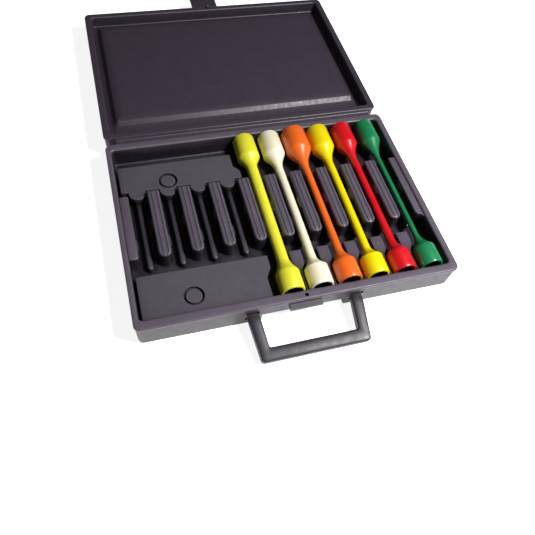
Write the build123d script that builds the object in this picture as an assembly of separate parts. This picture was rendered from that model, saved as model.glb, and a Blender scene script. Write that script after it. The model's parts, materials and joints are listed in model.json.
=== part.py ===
"""Open carrying case for torque-limiting impact extension sticks.

Frame: millimetres, +X to the right, +Y from the handle towards the hinge, +Z up.
The origin is on the case's flat underside, below the middle of the rack of ribs.
The case is modelled lying open, with the lid turned back flat behind the base.
"""
from build123d import *
import os

# ---- the two halves of the case -------------------------------------------------
CASE_HALF_W = 168.5
CASE_FRONT_Y = -120.4
CASE_BACK_Y = 117.0
CASE_H = 33.0
FLANGE_H = 4.7
WALL = 2.0
SEAM_STEP = 1.0
FLANGE_CORNER_R = 7.0
SHELL_DRAFT = 1.0
FOOT_FILLET = 3.0
RIM_FILLET = 1.4

# ---- hinge line between the halves ------------------------------------------------
HINGE_Y = 121.5
RIM_GAP = 0.4
HINGE_Z = CASE_H + RIM_GAP / 2
HINGE_HALF_W = 154.5
BEAD_R = 2.2
WEB_T = 1.6
WEB_DROP = 0.6
LID_WEB_GAP = 2.25

# ---- tray in the base ---------------------------------------------------------------
TRAY_LEFT = -162.5
TRAY_RIGHT = 160.5
TRAY_FRONT = -110.0
TRAY_BACK = 107.5
TRAY_CORNER_R = 4.0
WELL_DEPTH = 22.5
WELL_Z = CASE_H - WELL_DEPTH
RIB_COUNT = 9
LAST_SPARE_RIB = 4
LAST_SPARE_RIB_X = -25.5
SPARE_PITCH = 33.5
PITCH = 30.8
RIB_W = 13.6
RIB_FRONT = -42.0
RIB_BACK = 44.0
RIB_TOP_Z = CASE_H - 2.0
RIB_NOSE_R = 4.5
RIB_FILLET = 1.2
RIB_SKIN = 2.0
RIDGE_W = 6.4
RIDGE_FRONT = -47.5
RIDGE_TOP_Z = CASE_H - 15.0
LAND_TOP_Z = CASE_H - 8.0
LAND_BACK = -58.0
LAND_NECK = -74.0
LAND_TIP = -86.0
LAND_TIP_W = 1.6
BUMP_PROUD = 1.8
BUMP_LEN = 16.0
LEFT_FACE_BUMP_Y = 2.5
RIGHT_FACE_BUMP_Y = -22.0
BUMP_LOW_Z = CASE_H - 15.0
BUMP_HIGH_Z = CASE_H - 3.5
PEG_HOLE_Y = -116.0
PEG_HOLE_R = 2.0
PEG_R = 1.7
PEG_H = 4.0

# ---- filler blocks over the four empty places -----------------------------------------
FILLER_TOP_Z = LAND_TOP_Z
FILLER_LEFT = -159.6
FILLER_RIGHT_AT_HEAD = -31.0
FILLER_RIGHT_AT_NECK = -24.5
FRONT_FILLER_FRONT = -109.6
FRONT_FILLER_BACK = -58.0
REAR_FILLER_FRONT = 50.3
REAR_FILLER_BACK = 87.0
FILLER_SKIN = 2.0
FILLER_FLOOR_GAP = 0.3
TONGUE_R = 9.0
TONGUE_TIP = 38.7
TONGUE_T = 4.6
PLUG_X = -107.0
FRONT_PLUG_Y = -90.0
REAR_PLUG_Y = 60.2
PLUG_R = 8.0
PLUG_BORE_R = 10.6
PLUG_GROOVE = 3.0
PLUG_T = 2.6
PLUG_STEM_R = 3.0

# ---- carrying handle ---------------------------------------------------------------------
HANDLE_PIVOT_Y = -118.0
HANDLE_PIVOT_Z = 16.0
HANDLE_DROOP = 12.5
HANDLE_REACH = 49.6
GRIP_W = 14.0
ARM_OUT_ROOT = 61.5
ARM_IN_ROOT = 48.4
ARM_OUT_GRIP = 57.0
ARM_IN_GRIP = 46.0
HANDLE_T = 10.4
GRIP_OUTER_R = 4.5
GRIP_INNER_R = 2.0
EYE_R = 3.2
HANDLE_PIN_R = 1.5
PIN_CLEARANCE = 0.05
POCKET_HALF_H = 7.4
POCKET_DEPTH_Y = -114.4
POCKET_SIDE_GAP = 0.5
POCKET_WALL = 1.8
FINGER_RECESS_HALF_W = 44.5
FINGER_RECESS_Z = 17.0
FINGER_RECESS_SETBACK = 8.9

# ---- catch on the base and latch on the lid -----------------------------------------------
CATCH_HALF_W = 17.0
CATCH_Y = -123.4
CATCH_LOW_Z = 17.5
CATCH_HIGH_Z = 22.5
LATCH_HALF_W = 18.0
LATCH_PIVOT_Y = -125.8
LATCH_PIVOT_Z = 45.0
LATCH_PIN_R = 1.5
LATCH_BARREL_R = 3.2
LATCH_PLATE_IN = -124.3
LATCH_PLATE_OUT = -126.8
LATCH_TIP_Z = 14.2
LATCH_HOOK_Z = 17.0
LATCH_HOOK_Y = -121.2
EAR_T = 4.0
EAR_GAP = 0.5
LATCH_REST_TURN = -90.0

# ---- lid lining ------------------------------------------------------------------------------
LID_RIM_SIDE = 8.5
LID_WELL_DEPTH = 14.0
LID_PANEL_DEPTH = 9.0
LID_GROOVE_SIDE = 5.5
LID_PANEL_NEAR_Y = 159.5

# ---- torque-limiting sticks --------------------------------------------------------------------
STICK_FRONT = -107.3
STICK_BACK = 106.3
FRONT_HEAD_END = -84.4
BACK_HEAD_END = 76.0
HEAD_BEVEL = 1.2
DRIVE_SQUARE = 12.9
DRIVE_DEPTH = 17.0
HEX_DEPTH = 22.0
STICK_FLOOR_GAP = 0.35
STICK_AXIS_Z = 24.6

# name, slot, rear head dia, front head dia, shaft dia, front neck y, rear neck y, hex across flats
STICKS = [
    ("stick_lemon", 5, 26.0, 25.8, 12.8, -66.0, 60.0, 17.2),
    ("stick_cream", 6, 26.0, 25.8, 9.6, -70.0, 53.0, 17.2),
    ("stick_orange", 7, 30.0, 25.8, 8.8, -66.0, 48.0, 17.2),
    ("stick_yellow", 8, 27.2, 25.8, 9.2, -70.0, 51.0, 17.2),
    ("stick_red", 9, 25.2, 25.8, 9.0, -67.0, 54.0, 17.2),
    ("stick_green", 10, 24.4, 25.8, 5.8, -64.0, 48.0, 17.2),
]


def slab(x0, x1, y0, y1, z0, z1):
    """Box between two corners."""
    centre = ((x0 + x1) / 2, (y0 + y1) / 2, (z0 + z1) / 2)
    return Pos(*centre) * Box(x1 - x0, y1 - y0, z1 - z0)


def round_slab(x0, x1, y0, y1, z0, z1, radius):
    """Box with rounded upright corners."""
    outline = RectangleRounded(x1 - x0, y1 - y0, radius)
    return extrude(Pos((x0 + x1) / 2, (y0 + y1) / 2, z0) * outline, z1 - z0)


def rod_x(y, z, radius, x0, x1):
    """Round bar along X."""
    bar = Rot(0, 90, 0) * Cylinder(radius, x1 - x0)
    return Pos((x0 + x1) / 2, y, z) * bar


def side_prism(points, x0, x1):
    """Prism along X from a list of (y, z) corners."""
    face = Plane.YZ.offset(x0) * make_face(Polyline(*points, close=True))
    return extrude(face, x1 - x0)


def rib_x(k):
    """Middle of rib k: the places left of the last spare rib are a little wider."""
    step = k - LAST_SPARE_RIB
    return LAST_SPARE_RIB_X + (SPARE_PITCH if step < 0 else PITCH) * step


def slot_x(i):
    """Middle of the place between rib i-1 and rib i."""
    return (rib_x(i - 1) + rib_x(i)) / 2


def edges_at(shape, z, tolerance=0.01):
    """Edges that lie in the level plane at height z."""
    return shape.edges().filter_by_position(Axis.Z, z - tolerance, z + tolerance)


def half_form(y0, y1, inset, z0):
    """Drafted block with rounded corners that fills one half's lower shell."""
    top_z = CASE_H - FLANGE_H
    grow = SEAM_STEP + inset
    radius = FLANGE_CORNER_R - SEAM_STEP
    width = 2 * (CASE_HALF_W - grow)
    depth = y1 - y0 - 2 * grow
    middle = (y0 + y1) / 2
    drop = SHELL_DRAFT * (top_z - z0) / top_z
    high = Pos(0, middle, top_z) * RectangleRounded(width, depth, radius)
    low = Pos(0, middle, z0) * RectangleRounded(width - 2 * drop, depth - 2 * drop, radius)
    return loft([low, high])


def half_shell(y0, y1):
    """Open lower shell of one half, before its own fittings."""
    outside = half_form(y0, y1, 0, 0)
    outside = fillet(edges_at(outside, 0), FOOT_FILLET)
    return outside - half_form(y0, y1, WALL, WALL)


def flange_ring(y0, y1, basin, cavity):
    """Rim band with a skirt, a basin hanging in it and the cavity cut out."""
    x = CASE_HALF_W
    low_z = CASE_H - FLANGE_H
    band = round_slab(-x, x, y0, y1, low_z, CASE_H, FLANGE_CORNER_R)
    under = round_slab(-x + WALL, x - WALL, y0 + WALL, y1 - WALL, low_z, CASE_H - WALL,
                       FLANGE_CORNER_R - WALL)
    ring = band - under + basin - cavity
    return fillet(edges_at(ring, CASE_H), RIM_FILLET)


def finger_wedge(inset):
    """Space cut from the front of the base so that fingers reach round the grip."""
    reach = CASE_FRONT_Y - 10
    low_y = CASE_FRONT_Y + FINGER_RECESS_SETBACK + inset
    points = [(reach, FINGER_RECESS_Z + inset), (CASE_FRONT_Y + inset, FINGER_RECESS_Z + inset),
              (low_y, -1), (reach, -1)]
    half = FINGER_RECESS_HALF_W + inset
    return side_prism(points, -half, half)


def handle_pocket(side, grow, back_y):
    """Block that a handle arm's pocket fills, or that its walls fill."""
    inner = ARM_IN_ROOT - POCKET_SIDE_GAP - grow
    outer = ARM_OUT_ROOT + POCKET_SIDE_GAP + grow
    x0, x1 = sorted((side * inner, side * outer))
    half = POCKET_HALF_H + grow
    front_y = CASE_FRONT_Y - 5
    return slab(x0, x1, front_y, back_y, HANDLE_PIVOT_Z - half, HANDLE_PIVOT_Z + half)


def handle_pin(side, radius):
    """Pivot pin of one handle arm, from pocket wall to pocket wall."""
    inner = ARM_IN_ROOT - POCKET_SIDE_GAP - POCKET_WALL
    outer = ARM_OUT_ROOT + POCKET_SIDE_GAP + POCKET_WALL
    x0, x1 = sorted((side * inner, side * outer))
    return rod_x(HANDLE_PIVOT_Y, HANDLE_PIVOT_Z, radius, x0, x1)


def make_base_shell():
    """Lower shell with finger recess, handle pockets and the latch catch."""
    outside = half_form(CASE_FRONT_Y, CASE_BACK_Y, 0, 0)
    outside = fillet(edges_at(outside, 0), FOOT_FILLET)
    shell = half_shell(CASE_FRONT_Y, CASE_BACK_Y) - finger_wedge(0)
    skin = (finger_wedge(WALL) - finger_wedge(0)) & outside
    shell = shell + skin
    for side in (-1, 1):
        walls = handle_pocket(side, POCKET_WALL, POCKET_DEPTH_Y + POCKET_WALL / 1.5)
        shell = shell + (walls & outside)
        shell = shell - handle_pocket(side, 0, POCKET_DEPTH_Y)
        shell = shell - handle_pin(side, HANDLE_PIN_R)
    root_y = CASE_FRONT_Y + 1.5
    lip = [(root_y, CATCH_LOW_Z), (CATCH_Y + 0.8, CATCH_LOW_Z), (CATCH_Y, CATCH_LOW_Z + 0.8),
           (CATCH_Y, CATCH_HIGH_Z - 1), (root_y, CATCH_HIGH_Z + 2)]
    return shell + side_prism(lip, -CATCH_HALF_W, CATCH_HALF_W)


def make_rib(x):
    """One rib: square rear end, rounded nose, two shallow lines along its top."""
    bar = slab(x - RIB_W / 2, x + RIB_W / 2, RIB_FRONT, RIB_BACK, WELL_Z - WALL, RIB_TOP_Z)
    nose = bar.edges().filter_by(Axis.Z).group_by(Axis.Y)[0]
    bar = fillet(nose, RIB_NOSE_R)
    bar = fillet(edges_at(bar, RIB_TOP_Z), RIB_FILLET)
    for offset in (-RIB_W / 5, RIB_W / 5):
        bar = bar - slab(x + offset - 0.6, x + offset + 0.6, RIB_FRONT + 6, RIB_BACK - 3,
                         RIB_TOP_Z - 0.5, RIB_TOP_Z + 1)
    hollow = slab(x - RIB_W / 2 + RIB_SKIN, x + RIB_W / 2 - RIB_SKIN, RIB_FRONT + RIB_NOSE_R,
                  RIB_BACK - RIB_SKIN, WELL_Z - WALL - 1, RIB_TOP_Z - RIB_SKIN)
    return bar, hollow


def make_bump(x_face, outward, middle_y):
    """Pad on a rib's side face, on the side that outward points to, that nips a shaft."""
    points = [(BUMP_LOW_Z, -1), (BUMP_LOW_Z, BUMP_PROUD * 0.4), (BUMP_LOW_Z + 3, BUMP_PROUD),
              (BUMP_HIGH_Z - 3, BUMP_PROUD), (BUMP_HIGH_Z, 0), (BUMP_HIGH_Z, -1)]
    corners = [(x_face + outward * across, z) for z, across in points]
    plane = Plane.XZ.offset(-middle_y - BUMP_LEN / 2)
    return extrude(plane * make_face(Polyline(*corners, close=True)), BUMP_LEN)


def make_land(x):
    """Tapered wall between two neighbouring front heads."""
    wide = RIB_W / 2
    thin = LAND_TIP_W / 2
    corners = [(x - wide, LAND_BACK), (x + wide, LAND_BACK), (x + wide, LAND_NECK),
               (x + thin, LAND_TIP), (x + thin, TRAY_FRONT - 0.5), (x - thin, TRAY_FRONT - 0.5),
               (x - thin, LAND_TIP), (x - wide, LAND_NECK)]
    face = Pos(0, 0, WELL_Z - 1) * make_face(Polyline(*corners, close=True))
    return extrude(face, LAND_TOP_Z - WELL_Z + 1)


def make_base_tray():
    """Rim flange and well, with ribs, ledges, ridges, lands and nip pads."""
    low_z = WELL_Z - WALL
    basin = slab(TRAY_LEFT - WALL, TRAY_RIGHT + WALL, TRAY_FRONT - WALL, TRAY_BACK + WALL,
                 low_z, CASE_H)
    cavity = round_slab(TRAY_LEFT, TRAY_RIGHT, TRAY_FRONT, TRAY_BACK, WELL_Z, CASE_H + 1,
                        TRAY_CORNER_R)
    tray = flange_ring(CASE_FRONT_Y, CASE_BACK_Y, basin, cavity)
    hollows = []
    for k in range(1, RIB_COUNT + 1):
        rib, hollow = make_rib(rib_x(k))
        tray = tray + rib
        hollows.append(hollow)
    left_edge = rib_x(0) + RIB_W / 2
    right_edge = rib_x(RIB_COUNT + 1) - RIB_W / 2
    left = slab(TRAY_LEFT - 1, left_edge, RIB_FRONT + 1, RIB_BACK - 3, low_z, RIB_TOP_Z)
    right = slab(right_edge, TRAY_RIGHT + 1, RIB_FRONT, RIB_BACK, low_z, RIB_TOP_Z)
    tray = tray + left + right
    hollows.append(slab(right_edge + RIB_SKIN, TRAY_RIGHT - RIB_SKIN, RIB_FRONT + RIB_SKIN,
                        RIB_BACK - RIB_SKIN, low_z - 1, RIB_TOP_Z - RIB_SKIN))
    for i in range(1, RIB_COUNT + 2):
        x = slot_x(i)
        ridge = slab(x - RIDGE_W / 2, x + RIDGE_W / 2, RIDGE_FRONT, RIB_BACK, WELL_Z - 1,
                     RIDGE_TOP_Z)
        ridge = fillet(edges_at(ridge, RIDGE_TOP_Z), RIDGE_W * 0.4)
        tray = tray + ridge + make_bump(rib_x(i) - RIB_W / 2, -1, LEFT_FACE_BUMP_Y)
        tray = tray + make_bump(rib_x(i - 1) + RIB_W / 2, 1, RIGHT_FACE_BUMP_Y)
    for k in range(5, RIB_COUNT + 1):
        tray = tray + make_land(rib_x(k))
    for hollow in hollows:
        tray = tray - hollow
    return tray - Pos(0, PEG_HOLE_Y, CASE_H) * Cylinder(PEG_HOLE_R, 4 * WALL)


def make_living_hinge():
    """Moulded bead and web that join the lid to the base along the hinge line."""
    bead = rod_x(HINGE_Y, HINGE_Z, BEAD_R, -HINGE_HALF_W, HINGE_HALF_W)
    web = slab(-HINGE_HALF_W, HINGE_HALF_W, CASE_BACK_Y, HINGE_Y, CASE_H - WEB_DROP - WEB_T,
               CASE_H - WEB_DROP)
    return bead + web


def filler_plan(y_back, y_front, head_at_back):
    """Outline of a filler block, wider where the next stick is thin."""
    y_head, y_neck = (y_back, y_front) if head_at_back else (y_front, y_back)
    step = (y_neck - y_head) * 0.62
    return [(FILLER_LEFT, y_head), (FILLER_RIGHT_AT_HEAD, y_head),
            (FILLER_RIGHT_AT_HEAD, y_head + step * 0.8),
            (FILLER_RIGHT_AT_NECK, y_head + step * 1.15), (FILLER_RIGHT_AT_NECK, y_neck),
            (FILLER_LEFT, y_neck)]


def make_filler(corners, plug_y, tongues):
    """Hollow block that closes the unused head places of one row."""
    low_z = WELL_Z + FILLER_FLOOR_GAP
    outline = make_face(Polyline(*corners, close=True))
    outline = fillet(outline.vertices(), 1.5)
    block = extrude(Pos(0, 0, low_z) * outline, FILLER_TOP_Z - low_z)
    inner = offset(outline, -FILLER_SKIN)
    block = block - extrude(Pos(0, 0, low_z - 1) * inner, FILLER_TOP_Z - FILLER_SKIN - low_z + 1)
    for x in tongues:
        tip = Pos(x, TONGUE_TIP + TONGUE_R) * Circle(TONGUE_R)
        root = Pos(x, REAR_FILLER_FRONT) * Rectangle(2 * TONGUE_R, 2 * (REAR_FILLER_FRONT
                                                                       - TONGUE_TIP - TONGUE_R))
        tongue = extrude(Pos(0, 0, FILLER_TOP_Z - TONGUE_T) * (tip + root), TONGUE_T)
        block = block + tongue
    block = fillet(edges_at(block, FILLER_TOP_Z), 0.8)
    boss_h = FILLER_SKIN + PLUG_GROOVE
    block = block + Pos(PLUG_X, plug_y, FILLER_TOP_Z - boss_h / 2) * Cylinder(
        PLUG_BORE_R + FILLER_SKIN, boss_h)
    block = block - Pos(PLUG_X, plug_y, FILLER_TOP_Z) * Cylinder(PLUG_BORE_R, 2 * PLUG_GROOVE)
    return block - Pos(PLUG_X, plug_y, FILLER_TOP_Z) * Cylinder(PLUG_STEM_R, 20)


def make_plug(plug_y):
    """Round push-in plug that holds a filler block."""
    seat_z = FILLER_TOP_Z - PLUG_GROOVE
    cap = Pos(PLUG_X, plug_y, seat_z + PLUG_T / 2) * Cylinder(PLUG_R, PLUG_T)
    cap = fillet(edges_at(cap, seat_z + PLUG_T), 0.5)
    stem_h = seat_z - (WELL_Z + FILLER_FLOOR_GAP)
    stem = Pos(PLUG_X, plug_y, seat_z - stem_h / 2) * Cylinder(PLUG_STEM_R, stem_h)
    return cap + stem


def make_handle():
    """U-shaped carrying handle, drooping until its grip lies on the table."""
    grip_in = HANDLE_REACH - GRIP_W
    outer = make_face(Polyline((-ARM_OUT_ROOT, EYE_R), (ARM_OUT_ROOT, EYE_R),
                               (ARM_OUT_ROOT - 0.6, -18), (ARM_OUT_GRIP, -HANDLE_REACH),
                               (-ARM_OUT_GRIP, -HANDLE_REACH), (-ARM_OUT_ROOT + 0.6, -18),
                               close=True))
    outer = fillet(outer.vertices().group_by(Axis.Y)[0], GRIP_OUTER_R)
    inner = make_face(Polyline((-ARM_IN_ROOT, EYE_R + 1), (ARM_IN_ROOT, EYE_R + 1),
                               (ARM_IN_ROOT, 0), (ARM_IN_GRIP, -grip_in),
                               (-ARM_IN_GRIP, -grip_in), (-ARM_IN_ROOT, 0), close=True))
    inner = fillet(inner.vertices().group_by(Axis.Y)[0], GRIP_INNER_R)
    plan = extrude(Pos(0, 0, -HANDLE_T) * (outer - inner), 2 * HANDLE_T)
    half = HANDLE_T / 2
    side = [(0, EYE_R), (-6, half), (-HANDLE_REACH + 2, half), (-HANDLE_REACH, half - 2),
            (-HANDLE_REACH, -half + 2), (-HANDLE_REACH + 2, -half), (-6, -half), (0, -EYE_R)]
    flank = side_prism(side, -ARM_OUT_ROOT - 1, ARM_OUT_ROOT + 1)
    flank = flank + rod_x(0, 0, EYE_R, -ARM_OUT_ROOT - 1, ARM_OUT_ROOT + 1)
    handle = plan & flank
    handle = handle - rod_x(0, 0, HANDLE_PIN_R + PIN_CLEARANCE, -ARM_OUT_ROOT - 2,
                            ARM_OUT_ROOT + 2)
    return Pos(0, HANDLE_PIVOT_Y, HANDLE_PIVOT_Z) * Rot(HANDLE_DROOP, 0, 0) * handle


def to_lid(y_closed, z_closed):
    """Where a point of the closed lid lies once the lid is turned back flat."""
    return 2 * HINGE_Y - y_closed, 2 * HINGE_Z - z_closed


def make_lid_shell():
    """Outer shell of the lid with the two latch ears."""
    y0, _ = to_lid(CASE_BACK_Y, 0)
    y1, _ = to_lid(CASE_FRONT_Y, 0)
    shell = half_shell(y0, y1)
    pivot_y, pivot_z = to_lid(LATCH_PIVOT_Y, LATCH_PIVOT_Z)
    for side in (-1, 1):
        x0, x1 = sorted((side * (LATCH_HALF_W + EAR_GAP), side * (LATCH_HALF_W + EAR_GAP + EAR_T)))
        ear = slab(x0, x1, y1 - WALL + 0.5, pivot_y, pivot_z - 4, pivot_z + 4)
        ear = ear + rod_x(pivot_y, pivot_z, 4, x0, x1)
        shell = shell + ear - rod_x(pivot_y, pivot_z, LATCH_PIN_R, x0 - 1, x1 + 1)
    return shell


def make_lid_liner():
    """Lid lining: rim flange, recess and raised middle panel, with the hinge web."""
    y0, _ = to_lid(CASE_BACK_Y, 0)
    y1, _ = to_lid(CASE_FRONT_Y, 0)
    x = CASE_HALF_W - LID_RIM_SIDE
    near, far = y0 + LID_RIM_SIDE, y1 - LID_RIM_SIDE
    floor_z = CASE_H - LID_WELL_DEPTH
    low_z = floor_z - WALL
    basin = slab(-x - WALL, x + WALL, near - WALL, far + WALL, low_z, CASE_H)
    cavity = round_slab(-x, x, near, far, floor_z, CASE_H + 1, TRAY_CORNER_R)
    liner = flange_ring(y0, y1, basin, cavity)
    panel_x = x - LID_GROOVE_SIDE
    panel_far = far - LID_GROOVE_SIDE
    panel_z = CASE_H - LID_PANEL_DEPTH
    panel = round_slab(-panel_x, panel_x, LID_PANEL_NEAR_Y, panel_far, floor_z - 1, panel_z, 6)
    panel = fillet(edges_at(panel, panel_z), 2.0)
    hollow = round_slab(-panel_x + WALL, panel_x - WALL, LID_PANEL_NEAR_Y + WALL,
                        panel_far - WALL, low_z - 1, panel_z - WALL, 4)
    web = slab(-HINGE_HALF_W, HINGE_HALF_W, HINGE_Y + LID_WEB_GAP, y0 + 1,
               CASE_H - WEB_DROP - WEB_T, CASE_H - WEB_DROP)
    return liner + panel - hollow + web


def make_lid_peg():
    """Locating peg on the lid's front rim."""
    peg_y, _ = to_lid(PEG_HOLE_Y, 0)
    peg = Pos(0, peg_y, CASE_H + PEG_H / 2) * Cylinder(PEG_R, PEG_H)
    return chamfer(edges_at(peg, CASE_H + PEG_H), 0.6)


def make_latch():
    """Latch with barrel, plate, finger lip and hook, swung out level."""
    barrel = rod_x(LATCH_PIVOT_Y, LATCH_PIVOT_Z, LATCH_BARREL_R, -LATCH_HALF_W, LATCH_HALF_W)
    outline = [(LATCH_PLATE_IN, LATCH_PIVOT_Z), (LATCH_PLATE_OUT, LATCH_PIVOT_Z),
               (LATCH_PLATE_OUT, LATCH_TIP_Z + 1), (LATCH_PLATE_OUT - 2.5, LATCH_TIP_Z - 3),
               (LATCH_PLATE_OUT - 0.5, LATCH_TIP_Z - 3), (LATCH_PLATE_IN, LATCH_TIP_Z),
               (LATCH_HOOK_Y - 0.6, LATCH_TIP_Z), (LATCH_HOOK_Y, LATCH_TIP_Z + 0.8),
               (LATCH_HOOK_Y, LATCH_HOOK_Z), (LATCH_PLATE_IN, LATCH_HOOK_Z)]
    plate = side_prism(outline, -LATCH_HALF_W, LATCH_HALF_W)
    latch = barrel + plate - rod_x(LATCH_PIVOT_Y, LATCH_PIVOT_Z, LATCH_PIN_R + PIN_CLEARANCE,
                                   -LATCH_HALF_W - 1, LATCH_HALF_W + 1)
    turned = Pos(0, HINGE_Y, HINGE_Z) * Rot(180, 0, 0) * Pos(0, -HINGE_Y, -HINGE_Z) * latch
    pivot_y, pivot_z = to_lid(LATCH_PIVOT_Y, LATCH_PIVOT_Z)
    swing = Pos(0, pivot_y, pivot_z) * Rot(LATCH_REST_TURN, 0, 0) * Pos(0, -pivot_y, -pivot_z)
    return swing * turned


def make_latch_pin():
    """Steel pin that the latch turns on."""
    pivot_y, pivot_z = to_lid(LATCH_PIVOT_Y, LATCH_PIVOT_Z)
    half = LATCH_HALF_W + EAR_GAP + EAR_T
    return rod_x(pivot_y, pivot_z, LATCH_PIN_R, -half, half)


def flare(head_r, head_y, shaft_r, neck_y):
    """Cone that leaves the head at a shoulder and runs smoothly into the shaft."""
    length = neck_y - head_y
    return Bezier((head_r, head_y), (head_r - 0.35 * (head_r - shaft_r), head_y + 0.25 * length),
                  (shaft_r, neck_y - 0.45 * length), (shaft_r, neck_y))


def make_stick(slot, rear_d, front_d, shaft_d, front_neck, rear_neck, hex_flats):
    """Stick with a square drive in its rear head and a hexagon socket in its front head."""
    rear_r, front_r, shaft_r = rear_d / 2, front_d / 2, shaft_d / 2
    profile = [
        Polyline((0, STICK_FRONT), (front_r - HEAD_BEVEL, STICK_FRONT),
                 (front_r, STICK_FRONT + HEAD_BEVEL), (front_r, FRONT_HEAD_END)),
        flare(front_r, FRONT_HEAD_END, shaft_r, front_neck),
        Line((shaft_r, front_neck), (shaft_r, rear_neck)),
        flare(rear_r, BACK_HEAD_END, shaft_r, rear_neck),
        Polyline((rear_r, BACK_HEAD_END), (rear_r, STICK_BACK - HEAD_BEVEL),
                 (rear_r - HEAD_BEVEL, STICK_BACK), (0, STICK_BACK), (0, STICK_FRONT)),
    ]
    stick = revolve(make_face(profile), Axis.Y)
    square = Rectangle(DRIVE_SQUARE, DRIVE_SQUARE)
    drive = extrude(Plane.XZ.offset(-STICK_BACK) * square, DRIVE_DEPTH)
    hexagon = RegularPolygon(hex_flats / 2, 6, major_radius=False)
    socket = extrude(Plane.XZ.offset(-STICK_FRONT) * hexagon, -HEX_DEPTH)
    stick = stick - drive - socket
    axis_z = max(STICK_AXIS_Z, WELL_Z + STICK_FLOOR_GAP + max(rear_r, front_r))
    return Pos(slot_x(slot), 0, axis_z) * stick


def save(node, shape):
    """Write one node's STEP file."""
    export_step(shape, f"parts/{node}.step")
    print(node, "written")


def main():
    """Make every piece and write it."""
    os.makedirs("parts", exist_ok=True)
    left_slots = [slot_x(i) for i in range(1, 5)]
    front_plan = filler_plan(FRONT_FILLER_BACK, FRONT_FILLER_FRONT, False)
    rear_plan = filler_plan(REAR_FILLER_BACK, REAR_FILLER_FRONT, True)
    pieces = {
        "base_shell": make_base_shell(),
        "base_tray": make_base_tray(),
        "living_hinge": make_living_hinge(),
        "front_filler_block": make_filler(front_plan, FRONT_PLUG_Y, []),
        "rear_filler_block": make_filler(rear_plan, REAR_PLUG_Y, left_slots),
        "front_filler_plug": make_plug(FRONT_PLUG_Y),
        "rear_filler_plug": make_plug(REAR_PLUG_Y),
        "carry_handle": make_handle(),
        "handle_pivot_pins": Compound(children=[handle_pin(-1, HANDLE_PIN_R),
                                                handle_pin(1, HANDLE_PIN_R)]),
        "lid_shell": make_lid_shell(),
        "lid_liner": make_lid_liner(),
        "lid_locating_peg": make_lid_peg(),
        "lid_latch": make_latch(),
        "latch_pin": make_latch_pin(),
    }
    for name, *sizes in STICKS:
        pieces[name] = make_stick(*sizes)
    for node, shape in pieces.items():
        save(node, shape)


main()
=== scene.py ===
"""Looks of the open torque stick case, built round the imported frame.

Every length in the classes below is in millimetres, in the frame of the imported
model: +X to the right, +Y from the handle towards the hinge, +Z up from the table.
"""
from __future__ import annotations

import json
import logging
import math
from dataclasses import dataclass, field
from enum import Enum
from typing import Sequence

import bmesh
import bpy
import numpy as np
from mathutils import Matrix, Vector

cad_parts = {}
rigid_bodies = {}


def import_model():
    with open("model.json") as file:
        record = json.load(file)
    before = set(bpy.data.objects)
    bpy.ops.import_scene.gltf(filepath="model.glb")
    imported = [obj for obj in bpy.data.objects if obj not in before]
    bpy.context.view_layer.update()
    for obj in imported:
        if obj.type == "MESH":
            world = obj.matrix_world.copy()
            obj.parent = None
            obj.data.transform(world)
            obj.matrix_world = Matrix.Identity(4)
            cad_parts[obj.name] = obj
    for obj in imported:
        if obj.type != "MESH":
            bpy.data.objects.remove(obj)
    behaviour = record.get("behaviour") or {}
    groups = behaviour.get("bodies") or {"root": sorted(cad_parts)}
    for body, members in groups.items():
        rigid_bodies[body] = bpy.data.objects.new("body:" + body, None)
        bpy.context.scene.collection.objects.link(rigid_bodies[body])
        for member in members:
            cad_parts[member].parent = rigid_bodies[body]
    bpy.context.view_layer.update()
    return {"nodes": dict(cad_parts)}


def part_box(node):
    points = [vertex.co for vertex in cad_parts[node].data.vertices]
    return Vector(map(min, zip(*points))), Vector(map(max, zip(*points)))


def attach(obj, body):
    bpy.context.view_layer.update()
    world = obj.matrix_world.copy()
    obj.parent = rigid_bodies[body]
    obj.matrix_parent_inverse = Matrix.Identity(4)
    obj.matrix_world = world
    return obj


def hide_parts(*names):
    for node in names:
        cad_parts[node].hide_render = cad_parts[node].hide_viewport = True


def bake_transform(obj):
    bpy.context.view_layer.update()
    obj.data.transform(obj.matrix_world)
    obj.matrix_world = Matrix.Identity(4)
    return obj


MM = 0.001
LOG = logging.getLogger("stick_case")

for leftover in list(bpy.data.objects):
    bpy.data.objects.remove(leftover)
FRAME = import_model()

Point = tuple[float, float, float]


class Body(Enum):
    """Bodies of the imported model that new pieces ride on."""

    BASE = "base"
    LID = "lid"
    HANDLE = "handle"


class Mouth(Enum):
    """Shape of the hole in a stick's head, by its number of sides."""

    SQUARE = 4
    HEXAGON = 6


# ---------------------------------------------------------------- small tools


def linear(hex_code: str) -> tuple[float, float, float, float]:
    """Turn an sRGB hex colour into linear light.

    Args:
        hex_code: Six hex digits, without a hash.

    Returns:
        Linear red, green and blue with an alpha of one.
    """
    def channel(value: float) -> float:
        """Undo the sRGB curve on one channel."""
        return value / 12.92 if value <= 0.04045 else ((value + 0.055) / 1.055) ** 2.4

    red, green, blue = (channel(int(hex_code[i:i + 2], 16) / 255) for i in (0, 2, 4))
    return red, green, blue, 1.0


def add_node(tree: bpy.types.NodeTree, kind: str, inputs: dict | None = None,
             **settings: object) -> bpy.types.Node:
    """Add a node with its settings, its socket values and its incoming links.

    Args:
        tree: Tree that gets the node.
        kind: Blender's identifier of the node.
        inputs: Socket name or index to a value, or to an output that feeds it.
        **settings: Properties of the node itself.

    Returns:
        The new node.
    """
    node = tree.nodes.new(kind)
    for name, value in settings.items():
        setattr(node, name, value)
    for key, value in (inputs or {}).items():
        if isinstance(value, bpy.types.NodeSocket):
            tree.links.new(value, node.inputs[key])
        else:
            node.inputs[key].default_value = value
    return node


def per_mm(size: float) -> float:
    """Texture scale, in metres of object space, for a feature of this size in mm."""
    return 1.0 / (size * MM)


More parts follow.
